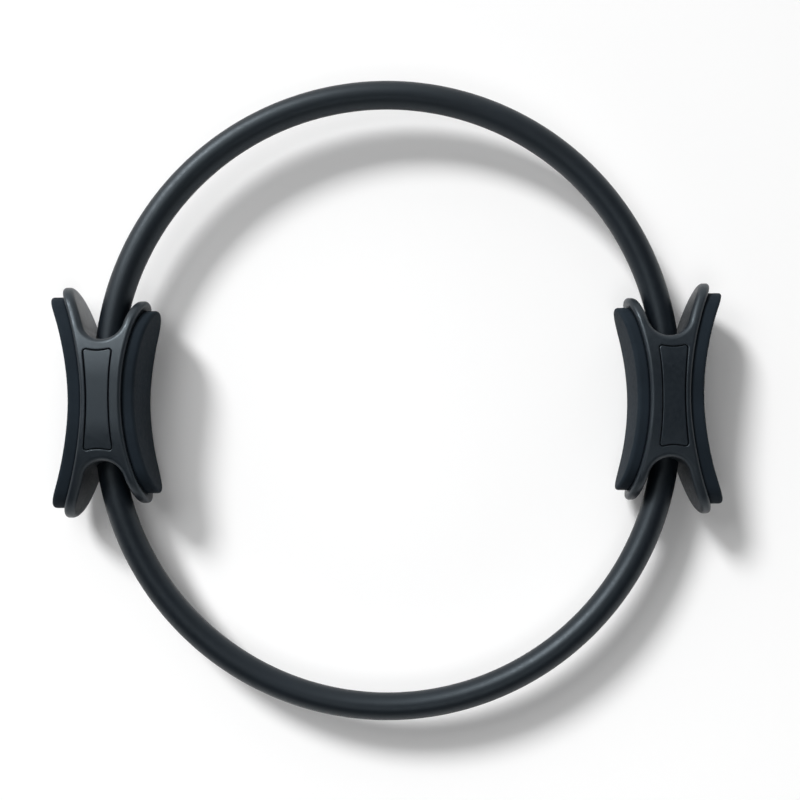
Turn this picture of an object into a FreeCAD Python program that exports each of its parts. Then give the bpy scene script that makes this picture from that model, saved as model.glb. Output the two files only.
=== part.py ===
import FreeCAD, Part
import math
import os
import Sketcher

# A pilates ring lying flat, with the ring's axis along Z, a handle at each end of the X axis and the
# origin at the ring's centre. Each half hoop is a fibreglass rod in a soft sleeve. Inside each handle a
# joiner block holds the ends of both rods, and two shells, split at the ring's mid plane, are screwed
# together round it. A handle is drawn in its own frame: X points out of the ring, and the hoop's axis
# passes through the handle's origin along Y.

SIZES = {
    # half hoops: centre line, sections and the gap from a sleeve's end to the joiner
    "hoop_radius": 158.0,
    "sleeve_diameter": 15.6,
    "core_diameter": 5.0,
    "core_clearance": 0.1,
    "channel_clearance": 0.3,
    "sleeve_end_gap": 0.5,
    # joiner block and its sockets for the rod ends
    "joiner_length": 29.0,
    "joiner_width": 13.0,
    "joiner_chamfer": 1.0,
    "joiner_clearance": 0.15,
    "socket_depth": 7.0,
    "socket_clearance": 0.05,
    "rod_end_gap": 0.5,
    # clamp screws and nuts
    "screw_diameter": 3.0,
    "screw_spacing": 8.0,
    "screw_hole_clearance": 0.15,
    "screw_head_diameter": 5.5,
    "screw_head_height": 2.2,
    "screw_key_width": 2.0,
    "screw_key_depth": 1.2,
    "head_round": 0.4,
    "nut_width": 5.5,
    "nut_thickness": 2.4,
    "nut_bore_clearance": 0.05,
    "fastener_pocket_clearance": 0.2,
    # handle housing: waist, curved plates, saddles for the hoop and depth
    "waist_outer": 9.5,
    "waist_inner": 12.8,
    "seat_radius": 143.0,
    "plate_thickness": 6.0,
    "outer_plate_reach": 65.0,
    "inner_plate_reach": 57.0,
    "plate_end_radius": 17.0,
    "saddle_reach": 33.5,
    "saddle_wall": 4.0,
    "face_depth": 24.0,
    "face_flat": 12.0,
    "back_rim_round": 3.2,
    "seat_rim_round": 2.0,
    "wall": 3.0,
    "trim_margin": 3.0,
    # locating pegs between the shells
    "dowel_diameter": 2.4,
    "dowel_height": 2.5,
    "dowel_spacing": 46.0,
    "dowel_clearance": 0.1,
    # palm pads
    "outer_pad_thickness": 8.3,
    "inner_pad_thickness": 7.0,
    "pad_side_inset": 3.0,
    "pad_end_inset": 5.5,
    "pad_round": 1.4,
    "bond_gap": 0.1,
    # badges inset in the faces
    "badge_length": 56.5,
    "badge_end_width": 16.0,
    "badge_waist_width": 12.0,
    "badge_end_sag": 1.5,
    "badge_corner": 1.5,
    "badge_round": 0.6,
    "badge_groove": 0.5,
    "recess_round": 0.5,
    "badge_floor": 20.5,
    "badge_inset": 0.3,
    "peg_diameter": 3.0,
    "peg_length": 2.6,
    "peg_spacing": 43.0,
    "peg_clearance": 0.1,
}

SHEET_NAME = "Sizes"
ON_CURVE = 1e-4
EDGE_SAMPLES = 7
LEFT = 1
RIGHT = -1
HALF_TURN = 180
FULL_TURN = 360
HEX_SIDES = 6
HEX_ROUNDING = 12

doc = FreeCAD.newDocument("pilates_ring")
sheet = doc.addObject("Spreadsheet::Sheet", SHEET_NAME)
for row, (alias, value) in enumerate(SIZES.items(), start=1):
    sheet.set(f"A{row}", alias)
    sheet.set(f"B{row}", str(value))
    sheet.setAlias(f"B{row}", alias)
doc.recompute()


class Size:
    """A length and the spreadsheet expression that gives it."""

    def __init__(self, value, text):
        self.value = value
        self.text = text

    def __add__(self, other):
        other = as_size(other)
        return Size(self.value + other.value, f"({self.text} + {other.text})")

    def __sub__(self, other):
        other = as_size(other)
        return Size(self.value - other.value, f"({self.text} - {other.text})")

    def __mul__(self, other):
        other = as_size(other)
        return Size(self.value * other.value, f"({self.text} * {other.text})")

    def __truediv__(self, other):
        other = as_size(other)
        return Size(self.value / other.value, f"({self.text} / {other.text})")

    def __neg__(self):
        return Size(-self.value, f"(0 - {self.text})")

    def root(self):
        return Size(math.sqrt(self.value), f"sqrt({self.text})")


def as_size(number):
    """A plain number as a Size."""
    if isinstance(number, Size):
        return number
    return Size(float(number), f"({float(number)!r})")


def size(alias):
    """The spreadsheet cell with this alias."""
    return Size(float(sheet.get(alias)), f"{SHEET_NAME}.{alias}")


# Sketch helpers

def sketch_on(body, role, name, offset=None):
    """A sketch on one of the body's origin planes, lifted off it along the plane's normal."""
    plane = [item for item in body.Origin.OriginFeatures if item.Role == role][0]
    sketch = body.newObject("Sketcher::SketchObject", name)
    sketch.AttachmentSupport = [(plane, "")]
    sketch.MapMode = "FlatFace"
    if offset is not None:
        lift = FreeCAD.Vector(0, 0, offset.value)
        sketch.AttachmentOffset = FreeCAD.Placement(lift, FreeCAD.Rotation())
        sketch.setExpression("AttachmentOffset.Base.z", offset.text)
    return sketch


def bind(sketch, constraint, amount):
    """Add a measured constraint and tie it to the spreadsheet."""
    index = sketch.addConstraint(Sketcher.Constraint(*constraint, amount.value))
    sketch.setExpression(f"Constraints[{index}]", amount.text)


def fix(sketch, item, point, x, y):
    """Place one point of a sketch's item."""
    for kind, amount, zero_axis in (("DistanceX", x, -2), ("DistanceY", y, -1)):
        if abs(amount.value) < ON_CURVE:
            sketch.addConstraint(Sketcher.Constraint("PointOnObject", item, point, zero_axis))
        elif amount.value > 0:
            bind(sketch, (kind, -1, 1, item, point), amount)
        else:
            bind(sketch, (kind, item, point, -1, 1), -amount)


def arc_through(start, end, radius, side):
    """An arc of under a half circle that bulges to the left or right of its chord."""
    chord = end - start
    half = chord.Length / 2
    sag = radius - math.sqrt(radius ** 2 - half ** 2)
    left = FreeCAD.Vector(-chord.y, chord.x, 0).normalize()
    return Part.Arc(start, (start + end) / 2 + left * (sag * side), end)


def end_at(sketch, item, place):
    """Which end of a sketch's item, 1 or 2, lies at a place."""
    gaps = [(sketch.getPoint(item, end) - place).Length for end in (1, 2)]
    return 1 + gaps.index(min(gaps))


def outline(sketch, corners, arcs):
    """A closed outline. arcs gives the radius and the bulge of the sides that are round."""
    places = [FreeCAD.Vector(x.value, y.value, 0) for x, y in corners]
    items = []
    for side, start in enumerate(places):
        end = places[(side + 1) % len(places)]
        if side in arcs:
            radius, bulge = arcs[side]
            items.append(sketch.addGeometry(arc_through(start, end, radius.value, bulge), False))
        else:
            items.append(sketch.addGeometry(Part.LineSegment(start, end), False))
    for side, place in enumerate(places):
        before, after = items[side - 1], items[side]
        after_end = end_at(sketch, after, place)
        joint = (before, end_at(sketch, before, place), after, after_end)
        sketch.addConstraint(Sketcher.Constraint("Coincident", *joint))
        fix(sketch, after, after_end, *corners[side])
    for side, (radius, bulge) in arcs.items():
        bind(sketch, ("Radius", items[side]), radius)


def rectangle(sketch, x_low, x_high, y_low, y_high):
    """A closed rectangle between four lines."""
    outline(sketch, [(x_low, y_low), (x_high, y_low), (x_high, y_high), (x_low, y_high)], {})


def circle(sketch, x, y, radius):
    """A circle, placed by its centre."""
    centre = FreeCAD.Vector(x.value, y.value, 0)
    item = sketch.addGeometry(Part.Circle(centre, FreeCAD.Vector(0, 0, 1), radius.value), False)
    bind(sketch, ("Radius", item), radius)
    fix(sketch, item, 3, x, y)


def hexagon(sketch, x, y, width):
    """A hexagon with two flats across Y, given by its width across flats."""
    reach = width / math.sqrt(3)
    corners = []
    for corner in range(HEX_SIDES):
        angle = math.radians(FULL_TURN * corner / HEX_SIDES)
        along_x = reach * round(math.cos(angle), HEX_ROUNDING)
        along_y = reach * round(math.sin(angle), HEX_ROUNDING)
        corners.append((x + along_x, y + along_y))
    outline(sketch, corners, {})


# Feature helpers

def new_body(name):
    """A body named after the piece it holds."""
    body = doc.addObject("PartDesign::Body", name)
    body.Label = name
    return body


def settle(body, feature):
    """Recompute and make sure that the newest feature came out."""
    doc.recompute()
    if feature.Shape.isNull() or not feature.Shape.isValid() or "Invalid" in feature.State:
        raise RuntimeError(f"{body.Label}: {feature.Label} failed")


def pad(body, sketch, length, toward):
    """Extrude a sketch along its normal (1), against it (-1) or to both sides (0)."""
    before = 0 if body.Shape.isNull() else body.Shape.Volume
    feature = body.newObject("PartDesign::Pad", f"{sketch.Name}_pad")
    feature.Profile = sketch
    feature.setExpression("Length", length.text)
    feature.Reversed = toward < 0
    if toward == 0:
        feature.SideType = "Symmetric"
    settle(body, feature)
    if body.Shape.Volume <= before:
        raise RuntimeError(f"{body.Label}: {sketch.Name} adds nothing")


def cut(body, sketch, toward, length=None):
    """Pocket a sketch along its normal (1), against it (-1) or both ways (0), right through by default."""
    before = body.Shape.Volume
    feature = body.newObject("PartDesign::Pocket", f"{sketch.Name}_cut")
    feature.Profile = sketch
    if length is None:
        feature.Type = "ThroughAll"
    else:
        feature.Type = "Length"
        feature.setExpression("Length", length.text)
    feature.Reversed = toward > 0
    if toward == 0:
        feature.SideType = "Symmetric"
    settle(body, feature)
    if body.Shape.Volume >= before:
        raise RuntimeError(f"{body.Label}: {sketch.Name} cuts nothing")


def round_edges(body, name, radius, wanted, kind="Fillet"):
    """Fillet or chamfer the edges whose points all pass a test."""
    base = body.Tip
    chosen = []
    for number, edge in enumerate(base.Shape.Edges, start=1):
        if wanted(edge.discretize(EDGE_SAMPLES)):
            chosen.append(f"Edge{number}")
    if not chosen:
        raise RuntimeError(f"{body.Label}: no edge for {name}")
    feature = body.newObject(f"PartDesign::{kind}", name)
    feature.Base = (base, chosen)
    feature.setExpression("Radius" if kind == "Fillet" else "Size", radius.text)
    settle(body, feature)


def is_upright(points):
    """True for an edge that runs along Z."""
    return all(math.hypot(p.x - points[0].x, p.y - points[0].y) < ON_CURVE for p in points)


def is_level(points, height=0.0):
    """True for an edge that lies at one height."""
    return all(abs(p.z - height) < ON_CURVE for p in points)


# Shapes that several pieces share

def hoop_offset():
    """Distance of each half hoop's centre from the ring's centre, which leaves room for the joiners."""
    return size("joiner_length") / 2 + size("sleeve_end_gap")


def seat_line(waist, radius, y):
    """Distance from the hoop's axis, at y, of a circle round the centre of a plate's concave seat."""
    return waist + size("seat_radius") - (radius * radius - y * y).root()


def saddle_circle():
    """Centre and radius of the round end of a saddle, which runs smoothly into the backs of both plates."""
    back = size("seat_radius") + size("plate_thickness")
    half_waist = (size("waist_outer") + size("waist_inner")) / 2
    centre_x = (size("waist_outer") - size("waist_inner")) / 2
    span = size("seat_radius") + half_waist
    reach = size("saddle_reach")
    radius = (span * span + reach * reach - back * back) / ((back - reach) * 2)
    return centre_x, reach + radius, radius


def face_radius():
    """Radius of the crowned stretch between the flat of a face and the round end of the outer plate."""
    run = size("outer_plate_reach") - size("plate_end_radius") - size("face_flat")
    depth, end = size("face_depth"), size("plate_end_radius")
    return (run * run + depth * depth - end * end) / ((depth - end) * 2)


def oval(sketch, depth, reach, crown):
    """The oval of a plate or pad seen from the palm: flat sides, crowned shoulders and round ends."""
    flat = size("face_flat")
    run = reach - flat
    end = (crown * depth * 2 - depth * depth - run * run) / ((crown - run) * 2)
    share = crown / (crown - end)
    meet_y = flat + (run - end) * share
    meet_z = depth - crown + (crown - depth) * share
    corners = [(meet_y, -meet_z), (meet_y, meet_z), (flat, depth), (-flat, depth),
               (-meet_y, meet_z), (-meet_y, -meet_z), (-flat, -depth), (flat, -depth)]
    shoulders = {side: (crown, RIGHT) for side in (1, 3, 5, 7)}
    outline(sketch, corners, {0: (end, RIGHT), 4: (end, RIGHT), **shoulders})


def trim_to_oval(body, name, depth, reach, crown, toward):
    """Cut away what lies outside an oval, along X, on one side of the hoop's axis or on both."""
    sketch = sketch_on(body, "YZ_Plane", name)
    beyond = size("trim_margin") * 2
    far_y = size("outer_plate_reach") + beyond
    far_z = size("face_depth") + beyond
    rectangle(sketch, -far_y, far_y, -far_z, far_z)
    oval(sketch, depth, reach, crown)
    cut(body, sketch, toward)


def hourglass(sketch, margin):
    """The badge's outline, grown by a margin."""
    half_length = size("badge_length") / 2 + margin
    half_end = size("badge_end_width") / 2 + margin
    side_sag = (size("badge_end_width") - size("badge_waist_width")) / 2
    end_sag = size("badge_end_sag")
    side_radius = (half_length * half_length + side_sag * side_sag) / (side_sag * 2)
    end_radius = (half_end * half_end + end_sag * end_sag) / (end_sag * 2)
    corners = [(half_end, -half_length), (half_end, half_length),
               (-half_end, half_length), (-half_end, -half_length)]
    outline(sketch, corners, {0: (side_radius, LEFT), 1: (end_radius, LEFT),
                              2: (side_radius, LEFT), 3: (end_radius, LEFT)})


def is_badge_corner(margin):
    """A test for the upright edges at the badge's four corners."""
    corner_x = size("badge_end_width").value / 2 + margin.value
    corner_y = size("badge_length").value / 2 + margin.value

    def wanted(points):
        at_corner = math.hypot(abs(points[0].x) - corner_x, abs(points[0].y) - corner_y) < ON_CURVE
        return at_corner and is_upright(points)

    return wanted


def screw_places():
    """Offsets of the two clamp screws along Y."""
    half = size("screw_spacing") / 2
    return half, -half


# Half hoops

def hoop_turn(body, sketch):
    """Turn a section half way round the ring's axis."""
    feature = body.newObject("PartDesign::Revolution", f"{sketch.Name}_turn")
    feature.Profile = sketch
    feature.ReferenceAxis = (sketch, ["V_Axis"])
    feature.Angle = HALF_TURN
    settle(body, feature)


def make_sleeve(name):
    """The soft tube of one half hoop."""
    body = new_body(name)
    sketch = sketch_on(body, "XZ_Plane", f"{name}_section")
    centre = size("hoop_radius")
    circle(sketch, centre, as_size(0), size("sleeve_diameter") / 2)
    circle(sketch, centre, as_size(0), size("core_diameter") / 2 + size("core_clearance"))
    hoop_turn(body, sketch)
    return body


def make_core(name):
    """The spring rod of one half hoop, with a straight tail at each end for the joiners' sockets."""
    body = new_body(name)
    sketch = sketch_on(body, "XZ_Plane", f"{name}_section")
    radius = size("core_diameter") / 2
    circle(sketch, size("hoop_radius"), as_size(0), radius)
    hoop_turn(body, sketch)
    tails = sketch_on(body, "XZ_Plane", f"{name}_tails")
    for x in (size("hoop_radius"), -size("hoop_radius")):
        circle(tails, x, as_size(0), radius)
    pad(body, tails, size("sleeve_end_gap") + size("socket_depth") - size("rod_end_gap"), 1)
    return body


# Handle housing

def section(sketch):
    """The X-shaped section of a handle: two concave plates back to back, and a saddle at each neck end."""
    seat = size("seat_radius")
    back = seat + size("plate_thickness")
    centre_x, saddle_y, saddle = saddle_circle()
    share = back / (back + saddle)
    meet_y = saddle_y * share
    sides = []
    for waist, reach, saddle_x in (("waist_outer", "outer_plate_reach", centre_x),
                                   ("waist_inner", "inner_plate_reach", -centre_x)):
        end_y = size(reach) + size("trim_margin")
        seat_x = seat_line(size(waist), seat, end_y)
        back_x = seat_line(size(waist), back, end_y)
        plate_centre = size(waist) + seat
        meet_x = plate_centre + (saddle_x - plate_centre) * share
        sides.append((seat_x, back_x, end_y, meet_x))
    (outer_seat, outer_back, outer_y, outer_meet), (inner_seat, inner_back, inner_y, inner_meet) = sides
    corners = [(outer_seat, -outer_y), (outer_seat, outer_y), (outer_back, outer_y),
               (outer_meet, meet_y), (-inner_meet, meet_y),
               (-inner_back, inner_y), (-inner_seat, inner_y), (-inner_seat, -inner_y),
               (-inner_back, -inner_y), (-inner_meet, -meet_y),
               (outer_meet, -meet_y), (outer_back, -outer_y)]
    arcs = {0: (seat, LEFT), 6: (seat, LEFT), 3: (saddle, LEFT), 9: (saddle, LEFT)}
    for side in (2, 4, 8, 10):
        arcs[side] = (back, RIGHT)
    outline(sketch, corners, arcs)


def rim_tests():
    """Tests for the rim edges on the seats of the plates, and on their backs and the saddles."""
    seat = size("seat_radius").value
    back = seat + size("plate_thickness").value
    outer_x = size("waist_outer").value + seat
    inner_x = -size("waist_inner").value - seat
    saddle_x, saddle_y, saddle = [amount.value for amount in saddle_circle()]

    def lies_on(points, x, y, radius):
        return all(abs(math.hypot(p.x - x, abs(p.y) - y) - radius) < ON_CURVE for p in points)

    def on_rim(points):
        return not is_level(points) and not is_upright(points)

    def on_seat(points):
        return on_rim(points) and any(lies_on(points, x, 0, seat) for x in (outer_x, inner_x))

    def on_back(points):
        at_plate = any(lies_on(points, x, 0, back) for x in (outer_x, inner_x))
        return on_rim(points) and (at_plate or lies_on(points, saddle_x, saddle_y, saddle))

    return on_seat, on_back


def cut_channel(body, name, end):
    """The round channel for the sleeve at one end of the neck, following the hoop's bend."""
    sketch = sketch_on(body, "XZ_Plane", name, hoop_offset() * -end)
    radius = size("sleeve_diameter") / 2 + size("channel_clearance")
    circle(sketch, as_size(0), as_size(0), radius)
    bend_x = -size("hoop_radius").value
    foot = FreeCAD.Vector(bend_x, 0, 0)
    axis = Part.LineSegment(foot, foot + FreeCAD.Vector(0, radius.value, 0))
    item = sketch.addGeometry(axis, True)
    sketch.addConstraint(Sketcher.Constraint("Vertical", item))
    fix(sketch, item, 1, -size("hoop_radius"), as_size(0))
    before = body.Shape.Volume
    feature = body.newObject("PartDesign::Groove", f"{name}_cut")
    feature.Profile = sketch
    feature.ReferenceAxis = (sketch, ["Axis0"])
    saddle_y = saddle_circle()[1]
    run = saddle_y - hoop_offset()
    feature.setExpression("Angle", f"asin({(run / size('hoop_radius')).text})")
    feature.Reversed = end < 0
    settle(body, feature)
    if body.Shape.Volume >= before:
        raise RuntimeError(f"{body.Label}: {name} cuts nothing")


def dowel_places():
    """Places of the two locating pegs, on the land beside the cavities, on a diagonal."""
    half = size("dowel_spacing") / 2
    outer_x = size("waist_outer") - size("wall") + size("dowel_diameter")
    inner_x = size("waist_inner") - size("wall") + size("dowel_diameter")
    return (outer_x, -half), (-inner_x, half)


def make_shell(name, facing):
    """One half of the housing: the front one faces +Z and holds the nuts, the rear one the screw heads."""
    body = new_body(name)
    depth = size("face_depth")
    crown = face_radius()
    profile = sketch_on(body, "XY_Plane", f"{name}_section")
    section(profile)
    pad(body, profile, depth, facing)
    trim_to_oval(body, f"{name}_outer_oval", depth, size("outer_plate_reach"), crown, 1)
    trim_to_oval(body, f"{name}_inner_oval", depth, size("inner_plate_reach"), crown, -1)
    on_seat, on_back = rim_tests()
    round_edges(body, f"{name}_back_rims", size("back_rim_round"), on_back)
    round_edges(body, f"{name}_seat_rims", size("seat_rim_round"), on_seat)
    cut_joiner_seat(body, name, facing)
    cut_cavities(body, name, facing)
    for end, word in ((1, "upper"), (-1, "lower")):
        cut_channel(body, f"{name}_{word}_channel", end)
    cut_badge_recess(body, name, facing)
    cut_fastener_pockets(body, name, facing)
    add_dowels(body, name, facing)
    return body


def cut_joiner_seat(body, name, facing):
    """The box that half of the joiner lies in, between the ends of the sleeves."""
    sketch = sketch_on(body, "XY_Plane", f"{name}_joiner_seat")
    half_width = size("joiner_width") / 2 + size("joiner_clearance")
    rectangle(sketch, -half_width, half_width, -hoop_offset(), hoop_offset())
    cut(body, sketch, facing, half_width)


def cut_cavities(body, name, facing):
    """The hollow on each side of the joiner, which leaves the walls and the end of the neck."""
    sketch = sketch_on(body, "XY_Plane", f"{name}_cavities")
    near = hoop_offset() + size("wall")
    far = size("saddle_reach") - size("saddle_wall")
    outer_x = size("waist_outer") - size("wall")
    inner_x = size("waist_inner") - size("wall")
    rectangle(sketch, -inner_x, outer_x, near, far)
    rectangle(sketch, -inner_x, outer_x, -far, -near)
    cut(body, sketch, facing, size("badge_floor") - size("wall"))


def cut_badge_recess(body, name, facing):
    """The recess that the badge lies in, with two holes for its pegs."""
    recess = sketch_on(body, "XY_Plane", f"{name}_badge_recess", size("badge_floor") * facing)
    groove = size("badge_groove")
    hourglass(recess, groove)
    cut(body, recess, facing)
    round_edges(body, f"{name}_recess_corners", size("badge_corner") + groove, is_badge_corner(groove))
    far_x = size("badge_end_width").value / 2 + groove.value + ON_CURVE
    far_y = size("badge_length").value / 2 + groove.value + ON_CURVE
    rim_low = size("badge_floor").value + size("recess_round").value

    def on_mouth(points):
        inside = all(abs(p.x) < far_x and abs(p.y) < far_y for p in points)
        return inside and min(p.z * facing for p in points) > rim_low and not is_upright(points)

    round_edges(body, f"{name}_recess_mouth", size("recess_round"), on_mouth)
    holes = sketch_on(body, "XY_Plane", f"{name}_peg_holes", size("badge_floor") * facing)
    radius = size("peg_diameter") / 2 + size("peg_clearance")
    for half in (size("peg_spacing") / 2, -size("peg_spacing") / 2):
        circle(holes, as_size(0), half, radius)
    cut(body, holes, -facing, size("wall"))


def cut_fastener_pockets(body, name, facing):
    """Holes for the clamp screws, with a pocket for each nut in front and each head behind."""
    holes = sketch_on(body, "XY_Plane", f"{name}_screw_holes")
    pockets = sketch_on(body, "XY_Plane", f"{name}_fastener_pockets", size("badge_floor") * facing)
    clearance = size("fastener_pocket_clearance")
    for place in screw_places():
        circle(holes, as_size(0), place, size("screw_diameter") / 2 + size("screw_hole_clearance"))
        if facing > 0:
            hexagon(pockets, as_size(0), place, size("nut_width") + clearance)
        else:
            circle(pockets, as_size(0), place, size("screw_head_diameter") / 2 + clearance)
    cut(body, holes, facing)
    height = size("nut_thickness") if facing > 0 else size("screw_head_height")
    cut(body, pockets, -facing, height + clearance)


def add_dowels(body, name, facing):
    """Locating pegs on the rear shell, or their holes in the front one."""
    sketch = sketch_on(body, "XY_Plane", f"{name}_dowels")
    clearance = size("dowel_clearance")
    for x, y in dowel_places():
        if facing > 0:
            circle(sketch, x, y, size("dowel_diameter") / 2 + clearance)
        else:
            circle(sketch, x, y, size("dowel_diameter") / 2)
    if facing > 0:
        cut(body, sketch, 1, size("dowel_height") + clearance)
    else:
        pad(body, sketch, size("dowel_height"), 1)


# Pads and badges

def make_pad(name, waist, reach, thickness, out):
    """A palm pad bonded on a plate's seat: out is 1 on the outer plate and -1 on the inner one."""
    body = new_body(name)
    seat = size("seat_radius")
    end_y = size(reach) - size("pad_end_inset")
    sketch_y = end_y + size("trim_margin")
    base = seat - size("bond_gap")
    face = seat - size(thickness)
    base_x = seat_line(size(waist), base, sketch_y) * out
    face_x = seat_line(size(waist), face, sketch_y) * out
    sketch = sketch_on(body, "XY_Plane", f"{name}_section")
    corners = [(face_x, sketch_y * -out), (face_x, sketch_y * out),
               (base_x, sketch_y * out), (base_x, sketch_y * -out)]
    outline(sketch, corners, {0: (face, LEFT), 2: (base, RIGHT)})
    inset = size("pad_side_inset")
    pad(body, sketch, size("face_depth") * 2, 0)
    trim_to_oval(body, f"{name}_oval", size("face_depth") - inset, end_y, face_radius() - inset, 0)
    centre_x = (size(waist).value + seat.value) * out

    def on_face(points):
        return all(abs(math.hypot(p.x - centre_x, p.y) - face.value) < ON_CURVE for p in points)

    round_edges(body, f"{name}_rim", size("pad_round"), on_face)
    return body


def make_badge(name, facing):
    """The inset panel over the fasteners, crowned like the face round it, with two pegs behind."""
    body = new_body(name)
    floor = size("badge_floor") * facing
    depth = size("face_depth") - size("badge_inset")
    panel = sketch_on(body, "XY_Plane", f"{name}_panel", floor)
    hourglass(panel, as_size(0))
    pad(body, panel, size("face_depth") - size("badge_floor") + size("trim_margin"), facing)
    reach = size("outer_plate_reach") - size("badge_inset")
    trim_to_oval(body, f"{name}_crown", depth, reach, face_radius() - size("badge_inset"), 0)
    round_edges(body, f"{name}_corners", size("badge_corner"), is_badge_corner(as_size(0)))
    rim_low = size("badge_floor").value + size("badge_round").value

    def on_rim(points):
        above = min(abs(p.z) for p in points) > rim_low
        across = all(abs(p.y - points[0].y) < ON_CURVE for p in points)
        return above and not across and not is_upright(points)

    round_edges(body, f"{name}_rim", size("badge_round"), on_rim)
    pegs = sketch_on(body, "XY_Plane", f"{name}_pegs", floor)
    for half in (size("peg_spacing") / 2, -size("peg_spacing") / 2):
        circle(pegs, as_size(0), half, size("peg_diameter") / 2)
    pad(body, pegs, size("peg_length"), -facing)
    return body


# Joiner and fasteners

def make_joiner(name):
    """The block that holds the ends of both rods in blind sockets, crossed by the clamp screws."""
    body = new_body(name)
    half_length = size("joiner_length") / 2
    half_width = size("joiner_width") / 2
    block = sketch_on(body, "XY_Plane", f"{name}_block")
    rectangle(block, -half_width, half_width, -half_length, half_length)
    pad(body, block, size("joiner_width"), 0)

    corner = half_width.value

    def along(points):
        return all(max(abs(abs(p.x) - corner), abs(abs(p.z) - corner)) < ON_CURVE for p in points)

    round_edges(body, f"{name}_edges", size("joiner_chamfer"), along, "Chamfer")
    for end, word in ((1, "upper"), (-1, "lower")):
        socket = sketch_on(body, "XZ_Plane", f"{name}_{word}_socket", half_length * -end)
        circle(socket, as_size(0), as_size(0), size("core_diameter") / 2 + size("socket_clearance"))
        cut(body, socket, end, size("socket_depth"))
    holes = sketch_on(body, "XY_Plane", f"{name}_screw_holes")
    for place in screw_places():
        circle(holes, as_size(0), place, size("screw_diameter") / 2 + size("screw_hole_clearance"))
    cut(body, holes, 0)
    return body


def nut_floor():
    """Height of the floor of a nut's pocket above the mid plane."""
    return size("badge_floor") - size("nut_thickness") - size("fastener_pocket_clearance")


def head_seat():
    """Depth of a screw head's bearing face below the mid plane."""
    return size("badge_floor") - size("screw_head_height") - size("fastener_pocket_clearance")


def make_screw(name):
    """A socket-head clamp screw on the Z axis, head down, with its tip flush with the nut."""
    body = new_body(name)
    tip = nut_floor() + size("nut_thickness")
    seat = -head_seat()
    top = seat - size("screw_head_height")
    shank = size("screw_diameter") / 2
    head = size("screw_head_diameter") / 2
    zero = as_size(0)
    profile = sketch_on(body, "XZ_Plane", f"{name}_profile")
    corners = [(zero, top), (head, top), (head, seat), (shank, seat), (shank, tip), (zero, tip)]
    outline(profile, corners, {})
    feature = body.newObject("PartDesign::Revolution", f"{name}_turn")
    feature.Profile = profile
    feature.ReferenceAxis = (profile, ["V_Axis"])
    feature.Angle = FULL_TURN
    settle(body, feature)

    def on_top(points):
        return is_level(points, top.value)

    round_edges(body, f"{name}_head_round", size("head_round"), on_top)
    key = sketch_on(body, "XY_Plane", f"{name}_key", top)
    hexagon(key, zero, zero, size("screw_key_width"))
    cut(body, key, 1, size("screw_key_depth"))
    return body


def make_nut(name):
    """A hex nut on the Z axis, standing on the floor of its pocket."""
    body = new_body(name)
    sketch = sketch_on(body, "XY_Plane", f"{name}_outline", nut_floor())
    hexagon(sketch, as_size(0), as_size(0), size("nut_width"))
    circle(sketch, as_size(0), as_size(0), size("screw_diameter") / 2 + size("nut_bore_clearance"))
    pad(body, sketch, size("nut_thickness"), 1)
    return body


def make_pair(name, make_one):
    """Two like fasteners, one on each screw's axis, as one group."""
    group = doc.addObject("Part::Compound", name)
    group.Label = name
    members = []
    for number, place in enumerate(screw_places(), start=1):
        member = make_one(f"{name}_{number}")
        member.setExpression("Placement.Base.y", place.text)
        members.append(member)
    group.Links = members
    doc.recompute()
    return group


# Assembly

def make_handle(side):
    """All the pieces of one handle, in the handle's own frame."""
    return [
        make_shell(f"{side}_front_shell", 1),
        make_shell(f"{side}_rear_shell", -1),
        make_pad(f"{side}_outer_pad", "waist_outer", "outer_plate_reach", "outer_pad_thickness", 1),
        make_pad(f"{side}_inner_pad", "waist_inner", "inner_plate_reach", "inner_pad_thickness", -1),
        make_badge(f"{side}_front_badge", 1),
        make_badge(f"{side}_rear_badge", -1),
        make_joiner(f"{side}_joiner"),
        make_pair(f"{side}_screws", make_screw),
        make_pair(f"{side}_nuts", make_nut),
    ]


def put(piece, x, y, turn):
    """Place a piece in the ring's frame, turned about Z."""
    rotation = FreeCAD.Rotation(FreeCAD.Vector(0, 0, 1), turn)
    piece.Placement = FreeCAD.Placement(FreeCAD.Vector(x.value, y.value, 0), rotation)
    piece.setExpression("Placement.Base.x", x.text)
    piece.setExpression("Placement.Base.y", y.text)


pieces = []
for half, turn, end in (("upper", 0, 1), ("lower", HALF_TURN, -1)):
    for piece in (make_sleeve(f"{half}_sleeve"), make_core(f"{half}_core")):
        put(piece, as_size(0), hoop_offset() * end, turn)
        pieces.append(piece)
for side, turn, end in (("right", 0, 1), ("left", HALF_TURN, -1)):
    for piece in make_handle(side):
        put(piece, size("hoop_radius") * end, as_size(0), turn)
        pieces.append(piece)
doc.recompute()

for item in doc.Objects:
    if "Invalid" in item.State or "Error" in item.State:
        raise RuntimeError(f"{item.Label} failed")
for piece in pieces:
    if piece.Shape.isNull() or not piece.Shape.isValid():
        raise RuntimeError(f"{piece.Label} has no valid shape")

os.makedirs("parts", exist_ok=True)
for piece in pieces:
    piece.Shape.exportStep(f"parts/{piece.Label}.step")
    box = piece.Shape.BoundBox
    print(f"{piece.Label}: {len(piece.Shape.Solids)} solid, {piece.Shape.Volume:.1f} mm3, "
          f"x {box.XMin:.2f} {box.XMax:.2f}, y {box.YMin:.2f} {box.YMax:.2f}, "
          f"z {box.ZMin:.2f} {box.ZMax:.2f}")
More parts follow.
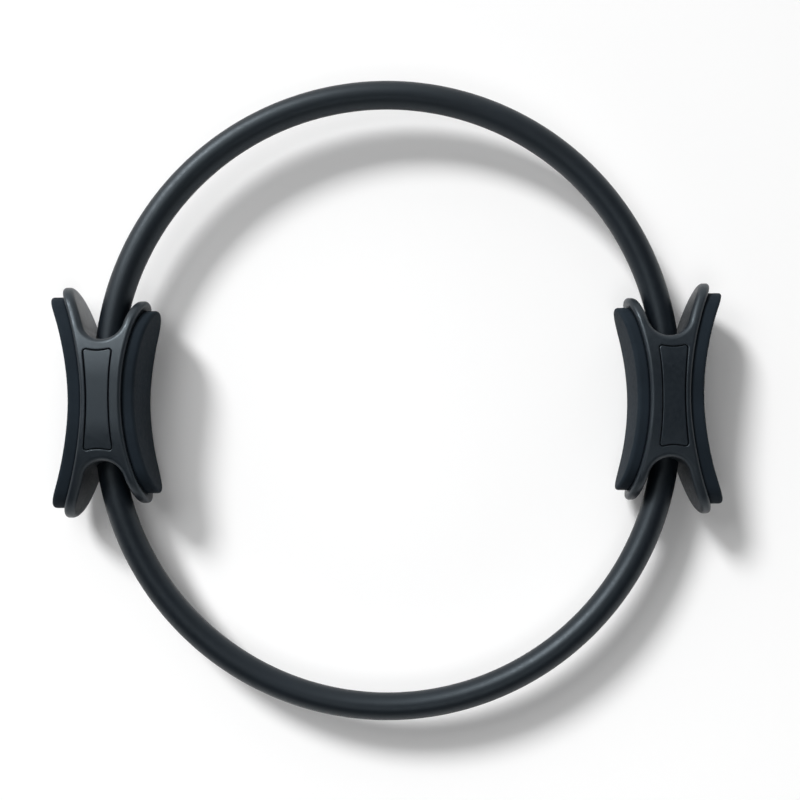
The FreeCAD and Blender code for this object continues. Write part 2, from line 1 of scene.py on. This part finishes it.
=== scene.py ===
import bpy
import math
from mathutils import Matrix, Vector


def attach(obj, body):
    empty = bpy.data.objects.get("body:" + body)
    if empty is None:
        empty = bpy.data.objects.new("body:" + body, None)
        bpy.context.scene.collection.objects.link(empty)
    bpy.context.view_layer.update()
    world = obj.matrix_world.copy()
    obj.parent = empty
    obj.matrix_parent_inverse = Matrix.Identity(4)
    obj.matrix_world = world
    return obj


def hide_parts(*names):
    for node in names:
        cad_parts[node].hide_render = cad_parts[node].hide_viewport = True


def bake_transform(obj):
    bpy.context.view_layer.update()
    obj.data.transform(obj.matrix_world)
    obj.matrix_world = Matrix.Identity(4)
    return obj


# A pilates ring lying flat on a white floor. The hoop's sleeves and rods and the four palm pads are
# modelled here. Shells, badges, joiners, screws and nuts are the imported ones, with their own finishes.

# Sizes in metres, in the ring's frame
HOOP_RADIUS = 0.158
HOOP_OFFSET = 0.015
SLEEVE_RADIUS = 0.0078
SLEEVE_BORE = 0.0026
CORE_RADIUS = 0.0025
CORE_TAIL = 0.007
SEAT_RADIUS = 0.143
FACE_DEPTH = 0.024
FACE_FLAT = 0.012
OUTER_REACH = 0.065
OUTER_END_RADIUS = 0.017
PAD_INSET = 0.003
PAD_BOND_GAP = 0.0001
PAD_ROUND = 0.0024
PAD_CUSHION = 0.0005
PAD_SWELL_POWER = 4

# Waist, reach and thickness of the outer and the inner pad, and the side it faces
PADS = {"outer": (0.0095, 0.0595, 0.0083, 1), "inner": (0.0128, 0.0515, 0.0070, -1)}
# Body of each handle, and its side of the ring
HANDLES = {"left": ("hoop_and_left_handle", -1), "right": ("right_handle", 1)}

# Mesh steps: along a half hoop, round a tube, round a pad, and up a pad's rim, side and face
HOOP_STEPS = 320
ROUND_STEPS = 48
OVAL_STEPS = 240
RIM_STEPS = 8
SIDE_STEPS = 4
FACE_STEPS = 16

# Camera, in metres and degrees, with lens and sensor in millimetres and its shift as a share of the frame
CAMERA_PLACE = (0.0294, -0.0564, 0.6954)
CAMERA_ROLL = -0.39
CAMERA_LENS = 55.26
CAMERA_SENSOR = 36
CAMERA_SHIFT = (-0.05, 0.125)

# Light: a soft sun from the upper left of the picture casts the shadow, and two softboxes give the
# highlights. A softbox has a place, a point it faces, a width and a brightness, where 1 is white.
KEY_TOWARD = (-0.493, 0.615, 0.616)
KEY_STRENGTH = 2.75
KEY_ANGLE = 0.25
SOFTBOXES = {"side_softbox": ((-0.33, 0.26, 0.70), (-0.12, 0.08, 0), 0.40, 3.2),
             "top_softbox": ((0.04, -0.34, 0.74), (0.04, -0.28, 0), 0.34, 2.8)}

# Sky: bright towards one side and dark on the other, with a white band at the horizon. A turn is the
# range of direction over which it changes.
SKY_TOWARD = (-0.30, 0.95, 0)
SKY_BRIGHT = 1.1
SKY_DARK = 0.06
SKY_TURN = (0.32, 0.85)
HORIZON_BRIGHT = 1.0
HORIZON_TURN = (0.28, 0.42)

# Floor: a disc at the ring's lowest level, which fades to plain white between two distances
FLOOR_HEIGHT = -0.024
FLOOR_REACH = 60.0
FLOOR_SIDES = 96
FLOOR_FADE = (0.45, 1.5)
FLOOR_ROUGHNESS = 0.9
FLOOR_SPECULAR = 0.1
FLOOR_WHITE = 1.0

# Colours, linear
RUBBER = (0.0026, 0.0044, 0.0072)
SHELL = (0.0052, 0.0077, 0.0110)
PAD = (0.0098, 0.0144, 0.0198)
BADGE = (0.0054, 0.0080, 0.0114)
NYLON = (0.060, 0.061, 0.064)
FIBREGLASS = (0.62, 0.60, 0.50)
ZINC = (0.55, 0.56, 0.58)
WHITE = (0.97, 0.97, 0.97)
COOL_GLOSS = (0.78, 0.91, 1.0)

# Moulded finishes: colour, roughness and its spread, grains a metre and their depth, radius of an edge that
# is rubbed smoother and given a painted highlight, and specular level
MOULDED = {"sleeve_rubber": (RUBBER, 0.44, 0.04, 2600, 0.00004, 0.0003, 0.42),
           "shell_plastic": (SHELL, 0.40, 0.05, 2200, 0.00006, 0.0006, 0.5),
           "pad_rubber": (PAD, 0.75, 0.05, 1700, 0.00008, 0.0006, 0.10),
           "badge_plastic": (BADGE, 0.38, 0.05, 3000, 0.00003, 0.0004, 0.5),
           "joiner_nylon": (NYLON, 0.5, 0.06, 1500, 0.00005, 0.0005, 0.5)}

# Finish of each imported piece, by the ending of its name
PACKED = {"shell": "shell_plastic", "badge": "badge_plastic", "joiner": "joiner_nylon",
          "screws": "fastener_steel", "nuts": "fastener_steel"}

# Surface patterns: patches a metre, shades of the colour, and ranges of roughness and depths in metres
NOISE_SPREAD = (0.3, 0.7)
CLOUD_SCALE = 45
CLOUD_SHADES = (0.88, 1.14)
PATCH_SCALE = 420
PATCH_DEPTH_SHARE = 0.6
EDGE_TURN = (0.85, 1.0)
# How much lighter edges are painted, a painted highlight
EDGE_PAINTED_HIGHLIGHT = 1.7
RESIN_SCALE = 900
RESIN_SHADE = 0.7
RESIN_ROUGHNESS = (0.35, 0.55)
RESIN_DEPTH = 0.00004
MOTTLE_SCALE = 1500
MOTTLE_SHADE = 0.85
MOTTLE_ROUGHNESS = (0.25, 0.42)
MOTTLE_DEPTH = 0.00001
FIBRE_SCALE = 300
FIBRE_SHADE = 0.995

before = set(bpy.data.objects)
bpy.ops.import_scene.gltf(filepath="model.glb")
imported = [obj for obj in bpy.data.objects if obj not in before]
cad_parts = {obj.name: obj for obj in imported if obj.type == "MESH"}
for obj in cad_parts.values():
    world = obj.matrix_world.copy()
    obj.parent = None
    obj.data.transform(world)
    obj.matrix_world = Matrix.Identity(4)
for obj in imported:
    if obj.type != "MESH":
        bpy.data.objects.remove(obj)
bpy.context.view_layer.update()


# Materials

def new_material(name):
    """A node material and its shader."""
    material = bpy.data.materials.new(name)
    material.use_nodes = True
    return material, material.node_tree.nodes["Principled BSDF"]


def add_node(material, kind, **values):
    """A node, with values for its sockets, or for its own settings where it has no such socket."""
    node = material.node_tree.nodes.new(kind)
    for name, value in values.items():
        socket = node.inputs.get(name.replace("_", " ").title())
        if socket is None:
            setattr(node, name, value)
        else:
            socket.default_value = value
    return node


def link(material, source, target):
    """Joins a node's result to another node's socket."""
    material.node_tree.links.new(source, target)


def noise(material, scale, detail=3.0):
    """A noise in the piece's own metres, with scale in patches a metre."""
    place = add_node(material, "ShaderNodeTexCoord")
    texture = add_node(material, "ShaderNodeTexNoise", scale=scale, detail=detail)
    link(material, place.outputs["Object"], texture.inputs["Vector"])
    return texture.outputs["Fac"]


def ranged(material, source, low, high, span=NOISE_SPREAD):
    """A value that goes from low to high as the source goes over its span."""
    node = add_node(material, "ShaderNodeMapRange")
    node.inputs["From Min"].default_value, node.inputs["From Max"].default_value = span
    node.inputs["To Min"].default_value = low
    node.inputs["To Max"].default_value = high
    link(material, source, node.inputs["Value"])
    return node.outputs["Result"]


def blend_colours(material, source, dark, light):
    """A colour between two as the source goes from 0 to 1."""
    ramp = add_node(material, "ShaderNodeValToRGB")
    ramp.color_ramp.elements[0].color = (*dark, 1)
    ramp.color_ramp.elements[1].color = (*light, 1)
    link(material, source, ramp.inputs["Fac"])
    return ramp.outputs["Color"]


def shade(colour, amount):
    """A darker or lighter shade of a colour."""
    return tuple(channel * amount for channel in colour)


def work(material, operation, *values):
    """The result of a math node on numbers and on other nodes' results."""
    node = add_node(material, "ShaderNodeMath", operation=operation)
    for socket, value in zip(node.inputs, values):
        if isinstance(value, (int, float)):
            socket.default_value = value
        else:
            link(material, value, socket)
    return node.outputs["Value"]


def edge_mask(material, radius):
    """0 on flat stretches and up to 1 on edges sharper than a radius, and the normal that rounds them."""
    bevel = add_node(material, "ShaderNodeBevel", radius=radius)
    geometry = add_node(material, "ShaderNodeNewGeometry")
    dot = add_node(material, "ShaderNodeVectorMath", operation="DOT_PRODUCT")
    link(material, bevel.outputs["Normal"], dot.inputs[0])
    link(material, geometry.outputs["Normal"], dot.inputs[1])
    return ranged(material, dot.outputs["Value"], 1, 0, EDGE_TURN), bevel.outputs["Normal"]


def bumps(material, shader, layers, normal=None):
    """Bump layers on top of each other, each a height source and its depth in metres."""
    for source, depth in layers:
        bump = add_node(material, "ShaderNodeBump", distance=depth)
        link(material, source, bump.inputs["Height"])
        if normal is not None:
            link(material, normal, bump.inputs["Normal"])
        normal = bump.outputs["Normal"]
    link(material, normal, shader.inputs["Normal"])


def moulded(name, colour, roughness, spread, grain, grain_depth, edge_radius, specular):
    """Dark moulded plastic or rubber: cloudy colour, fine grain, and edges rubbed smoother with a painted
    highlight that makes them lighter.
    """
    material, shader = new_material(name)
    clouds = ranged(material, noise(material, CLOUD_SCALE), 0, 1)
    patches = noise(material, PATCH_SCALE, detail=4)
    fine = noise(material, grain, detail=2)
    dark, light = (shade(colour, amount) for amount in CLOUD_SHADES)
    edge, soft_normal = edge_mask(material, edge_radius)
    # Painted highlight: the colour turns lighter on edges
    painted_edge_highlight = add_node(material, "ShaderNodeMix", data_type="RGBA")
    painted_edge_highlight.inputs["B"].default_value = (*shade(colour, EDGE_PAINTED_HIGHLIGHT), 1)
    link(material, edge, painted_edge_highlight.inputs["Factor"])
    link(material, blend_colours(material, clouds, dark, light), painted_edge_highlight.inputs["A"])
    link(material, painted_edge_highlight.outputs["Result"], shader.inputs["Base Color"])
    gloss = ranged(material, patches, roughness - spread, roughness + spread)
    rubbed = work(material, "MULTIPLY_ADD", edge, -spread, gloss)
    link(material, rubbed, shader.inputs["Roughness"])
    shader.inputs["Specular IOR Level"].default_value = specular
    shader.inputs["Specular Tint"].default_value = (*COOL_GLOSS, 1)
    bumps(material, shader, [(patches, grain_depth * PATCH_DEPTH_SHARE), (fine, grain_depth)], soft_normal)
    return material


def fibreglass():
    """Fibreglass rod with pale resin in patches."""
    material, shader = new_material("core_fibreglass")
    resin = noise(material, RESIN_SCALE, detail=4)
    tint = blend_colours(material, resin, shade(FIBREGLASS, RESIN_SHADE), FIBREGLASS)
    link(material, tint, shader.inputs["Base Color"])
    link(material, ranged(material, resin, *RESIN_ROUGHNESS), shader.inputs["Roughness"])
    bumps(material, shader, [(resin, RESIN_DEPTH)])
    return material


def zinc():
    """Zinc-plated steel with a faintly mottled plating."""
    material, shader = new_material("fastener_steel")
    mottle = noise(material, MOTTLE_SCALE)
    tint = blend_colours(material, mottle, shade(ZINC, MOTTLE_SHADE), ZINC)
    link(material, tint, shader.inputs["Base Color"])
    link(material, ranged(material, mottle, *MOTTLE_ROUGHNESS), shader.inputs["Roughness"])
    shader.inputs["Metallic"].default_value = 1.0
    bumps(material, shader, [(mottle, MOTTLE_DEPTH)])
    return material


def floor_white():
    """Seamless white paper, which fades to the plain white of the horizon well away from the ring."""
    material, shader = new_material("floor_white")
    fibre = noise(material, FIBRE_SCALE, detail=4)
    tint = blend_colours(material, fibre, shade(WHITE, FIBRE_SHADE), WHITE)
    link(material, tint, shader.inputs["Base Color"])
    shader.inputs["Roughness"].default_value = FLOOR_ROUGHNESS
    shader.inputs["Specular IOR Level"].default_value = FLOOR_SPECULAR
    place = add_node(material, "ShaderNodeTexCoord")
    reach = add_node(material, "ShaderNodeVectorMath", operation="LENGTH")
    link(material, place.outputs["Object"], reach.inputs[0])
    fade = ranged(material, reach.outputs["Value"], 0, 1, FLOOR_FADE)
    path = add_node(material, "ShaderNodeLightPath")
    mirrored = work(material, "MAXIMUM", path.outputs["Is Glossy Ray"], path.outputs["Is Transmission Ray"])
    seen = work(material, "MAXIMUM", path.outputs["Is Camera Ray"], mirrored)
    backdrop = add_node(material, "ShaderNodeEmission", strength=FLOOR_WHITE)
    paper = add_node(material, "ShaderNodeMixShader")
    link(material, work(material, "MULTIPLY", fade, seen), paper.inputs["Fac"])
    link(material, shader.outputs["BSDF"], paper.inputs[1])
    link(material, backdrop.outputs["Emission"], paper.inputs[2])
    link(material, paper.outputs["Shader"], material.node_tree.nodes["Material Output"].inputs["Surface"])
    return material


# Meshes

def mesh_piece(name, points, faces, material):
    """A smooth-shaded mesh object."""
    mesh = bpy.data.meshes.new(name)
    mesh.from_pydata(points, [], faces)
    mesh.validate()
    mesh.shade_smooth()
    mesh.materials.append(material)
    piece = bpy.data.objects.new(name, mesh)
    bpy.context.scene.collection.objects.link(piece)
    return piece


def turned_over(faces):
    """The faces with their fronts where their backs were."""
    return [face[::-1] for face in faces]


def grid_faces(rows, columns, first=0):
    """Quads between rows of points, joined round each row."""
    faces = []
    for row in range(rows - 1):
        low = first + row * columns
        for column in range(columns):
            beside = (column + 1) % columns
            faces.append((low + column, low + beside, low + columns + beside, low + columns + column))
    return faces


def hoop_stations(end, tail):
    """Centres and outward directions along a half hoop: end is 1 for the upper one, -1 for the lower one."""
    stations = []
    if tail:
        stations.append((Vector((HOOP_RADIUS, (HOOP_OFFSET - tail) * end, 0)), Vector((1, 0, 0))))
    for step in range(HOOP_STEPS + 1):
        angle = math.pi * step / HOOP_STEPS
        outward = Vector((math.cos(angle), math.sin(angle) * end, 0))
        stations.append((outward * HOOP_RADIUS + Vector((0, HOOP_OFFSET * end, 0)), outward))
    if tail:
        stations.append((Vector((-HOOP_RADIUS, (HOOP_OFFSET - tail) * end, 0)), Vector((-1, 0, 0))))
    return stations


def tube_rows(stations, radius):
    """Rings of points round each station."""
    points = []
    for centre, outward in stations:
        for step in range(ROUND_STEPS):
            angle = 2 * math.pi * step / ROUND_STEPS
            rise = Vector((0, 0, radius * math.sin(angle)))
            points.append(centre + outward * (radius * math.cos(angle)) + rise)
    return points


def facing_out(faces, end):
    """The faces of a half hoop, turned over on the upper one, which mirrors the lower one."""
    return turned_over(faces) if end > 0 else faces


def make_sleeve(half, end, material):
    """The soft tube of a half hoop, bored for its rod."""
    stations = hoop_stations(end, 0)
    rows = len(stations)
    outside = tube_rows(stations, SLEEVE_RADIUS)
    inside = tube_rows(stations, SLEEVE_BORE)
    points = outside + inside
    faces = grid_faces(rows, ROUND_STEPS)
    faces += turned_over(grid_faces(rows, ROUND_STEPS, len(outside)))
    for row in (0, rows - 1):
        outer = row * ROUND_STEPS
        inner = len(outside) + outer
        for step in range(ROUND_STEPS):
            beside = (step + 1) % ROUND_STEPS
            face = (outer + step, inner + step, inner + beside, outer + beside)
            faces.append(face if row == 0 else face[::-1])
    return mesh_piece(f"{half}_sleeve_tube", points, facing_out(faces, end), material)


def make_core(half, end, material):
    """The spring rod of a half hoop, with straight tails."""
    stations = hoop_stations(end, CORE_TAIL)
    rows = len(stations)
    points = tube_rows(stations, CORE_RADIUS)
    faces = grid_faces(rows, ROUND_STEPS)
    last = (rows - 1) * ROUND_STEPS
    faces.append(tuple(range(ROUND_STEPS))[::-1])
    faces.append(tuple(range(last, last + ROUND_STEPS)))
    return mesh_piece(f"{half}_core_rod", points, facing_out(faces, end), material)


def face_crown():
    """Radius of the shoulders of a face, between its flat and the round end of the outer plate."""
    run = OUTER_REACH - OUTER_END_RADIUS - FACE_FLAT
    return (run ** 2 + FACE_DEPTH ** 2 - OUTER_END_RADIUS ** 2) / (2 * (FACE_DEPTH - OUTER_END_RADIUS))


def oval_end(depth, reach, crown):
    """Radius of the round ends of an oval with flat sides and crowned shoulders."""
    run = reach - FACE_FLAT
    return (crown * depth * 2 - depth * depth - run * run) / ((crown - run) * 2)


def oval_outline(depth, reach, crown):
    """Points and outward directions round a pad's oval, in Y and Z."""
    run = reach - FACE_FLAT
    end = oval_end(depth, reach, crown)
    share = crown / (crown - end)
    meet_y = FACE_FLAT + (run - end) * share
    end_y = reach - end
    end_half = math.asin((depth - crown + (crown - depth) * share) / end)
    crown_length = crown * math.asin((meet_y - FACE_FLAT) / crown)
    total = FACE_FLAT + crown_length + end * end_half
    outline = []
    for step in range(OVAL_STEPS):
        turn, rest = divmod(4 * step / OVAL_STEPS, 1)
        quarter = int(turn)
        along = total * (1 - rest if quarter % 2 else rest)
        if along < FACE_FLAT:
            place, normal = (along, depth), (0, 1)
        elif along < FACE_FLAT + crown_length:
            angle = (along - FACE_FLAT) / crown
            normal = (math.sin(angle), math.cos(angle))
            place = (FACE_FLAT + crown * normal[0], depth - crown + crown * normal[1])
        else:
            angle = end_half - (along - FACE_FLAT - crown_length) / end
            normal = (math.cos(angle), math.sin(angle))
            place = (end_y + end * normal[0], end * normal[1])
        sign_y = (1, 1, -1, -1)[quarter]
        sign_z = (1, -1, -1, 1)[quarter]
        outline.append(((place[0] * sign_y, place[1] * sign_z), (normal[0] * sign_y, normal[1] * sign_z)))
    return outline


def pad_layers(thickness):
    """Rows of a pad from its bond to the middle of its face: inset, height and share of the outline."""
    layers = []
    for step in range(SIDE_STEPS):
        rise = (thickness - PAD_ROUND - PAD_BOND_GAP) * step / SIDE_STEPS
        layers.append((0.0, PAD_BOND_GAP + rise, 1.0))
    for step in range(RIM_STEPS + 1):
        angle = math.pi / 2 * step / RIM_STEPS
        layers.append((PAD_ROUND * (1 - math.cos(angle)), thickness - PAD_ROUND * (1 - math.sin(angle)), 1.0))
    for step in range(1, FACE_STEPS):
        layers.append((PAD_ROUND, thickness, 1 - step / FACE_STEPS))
    return layers


def make_pad(side, kind, material):
    """A palm pad: straight sides, a round rim and a hollow face that swells a little across its width."""
    waist, reach, thickness, out = PADS[kind]
    body, handle = HANDLES[side]
    depth = FACE_DEPTH - PAD_INSET
    outline = oval_outline(depth, reach, face_crown() - PAD_INSET)
    layers = pad_layers(thickness)

    def place(y, z, height):
        swell = PAD_CUSHION * (z / depth) ** 2 * min(1, height / thickness) ** PAD_SWELL_POWER
        radius = SEAT_RADIUS - height + swell
        x = waist + SEAT_RADIUS - math.sqrt(radius ** 2 - y ** 2)
        return Vector((handle * (HOOP_RADIUS + out * x), y, z))

    points = []
    for inset, height, share in layers:
        for (y, z), (normal_y, normal_z) in outline:
            points.append(place((y - inset * normal_y) * share, (z - inset * normal_z) * share, height))
    points.append(place(0, 0, thickness))
    rows = len(layers)
    faces = grid_faces(rows, OVAL_STEPS)
    last = (rows - 1) * OVAL_STEPS
    for step in range(OVAL_STEPS):
        faces.append((last + step, last + (step + 1) % OVAL_STEPS, len(points) - 1))
    faces.append(tuple(range(OVAL_STEPS))[::-1])
    if handle * out > 0:
        faces = turned_over(faces)
    piece = mesh_piece(f"{side}_{kind}_pad_cushion", points, faces, material)
    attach(piece, body)
    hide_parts(f"{side}_{kind}_pad")


# Stage

def make_floor(material):
    """A round floor that reaches to the horizon."""
    points = [(0, 0, FLOOR_HEIGHT)]
    for step in range(FLOOR_SIDES):
        angle = 2 * math.pi * step / FLOOR_SIDES
        points.append((FLOOR_REACH * math.cos(angle), FLOOR_REACH * math.sin(angle), FLOOR_HEIGHT))
    faces = [(0, 1 + step, 1 + (step + 1) % FLOOR_SIDES) for step in range(FLOOR_SIDES)]
    mesh_piece("floor", points, faces, material)


def add_lamp(data, place, toward):
    """A lamp that shines back along a direction, unseen by the camera itself."""
    lamp = bpy.data.objects.new(data.name, data)
    lamp.location = place
    lamp.rotation_euler = Vector(toward).to_track_quat("Z", "Y").to_euler()
    lamp.visible_camera = False
    bpy.context.scene.collection.objects.link(lamp)


def make_lamps():
    """The sun and the softboxes."""
    key = bpy.data.lights.new("key", "SUN")
    key.energy = KEY_STRENGTH
    key.angle = KEY_ANGLE
    add_lamp(key, KEY_TOWARD, KEY_TOWARD)
    for name, (place, faced, width, brightness) in SOFTBOXES.items():
        softbox = bpy.data.lights.new(name, "AREA")
        softbox.shape = "DISK"
        softbox.size = width
        area = math.pi * width ** 2 / 4
        softbox.energy = math.pi * brightness * area
        add_lamp(softbox, place, Vector(place) - Vector(faced))


def make_sky():
    """A sky that is bright at the horizon and towards the top of the picture."""
    world = bpy.data.worlds.new("sky")
    world.use_nodes = True
    background = world.node_tree.nodes["Background"]
    place = add_node(world, "ShaderNodeTexCoord")
    facing = add_node(world, "ShaderNodeVectorMath", operation="DOT_PRODUCT")
    facing.inputs[1].default_value = SKY_TOWARD
    link(world, place.outputs["Generated"], facing.inputs[0])
    axes = add_node(world, "ShaderNodeSeparateXYZ")
    link(world, place.outputs["Generated"], axes.inputs["Vector"])
    sky = ranged(world, facing.outputs["Value"], SKY_DARK, SKY_BRIGHT, SKY_TURN)
    horizon = ranged(world, axes.outputs["Z"], HORIZON_BRIGHT, 0, HORIZON_TURN)
    link(world, work(world, "MAXIMUM", sky, horizon), background.inputs["Strength"])
    background.inputs["Color"].default_value = (1, 1, 1, 1)
    bpy.context.scene.world = world


def make_camera():
    """The photograph's camera, straight above the floor."""
    data = bpy.data.cameras.new("camera")
    data.sensor_width = CAMERA_SENSOR
    data.lens = CAMERA_LENS
    data.shift_x, data.shift_y = CAMERA_SHIFT
    camera = bpy.data.objects.new("camera", data)
    camera.location = CAMERA_PLACE
    camera.rotation_euler = (0, 0, math.radians(CAMERA_ROLL))
    bpy.context.scene.collection.objects.link(camera)
    bpy.context.scene.camera = camera


# Assembly

finishes = {name: moulded(name, *values) for name, values in MOULDED.items()}
finishes["core_fibreglass"] = fibreglass()
finishes["fastener_steel"] = zinc()

for half, end in (("upper", 1), ("lower", -1)):
    sleeve = make_sleeve(half, end, finishes["sleeve_rubber"])
    core = make_core(half, end, finishes["core_fibreglass"])
    for piece, node, slot in ((sleeve, "sleeve", "sleeve_rubber"), (core, "core", "core_fibreglass")):
        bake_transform(piece)
        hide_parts(f"{half}_{node}")

for side in HANDLES:
    for kind in PADS:
        make_pad(side, kind, finishes["pad_rubber"])

for name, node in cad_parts.items():
    for ending, finish in PACKED.items():
        if name.endswith(ending):
            node.data.materials.clear()
            node.data.materials.append(finishes[finish])

make_floor(floor_white())
make_lamps()
make_sky()
make_camera()
bpy.context.scene.view_settings.view_transform = "Standard"
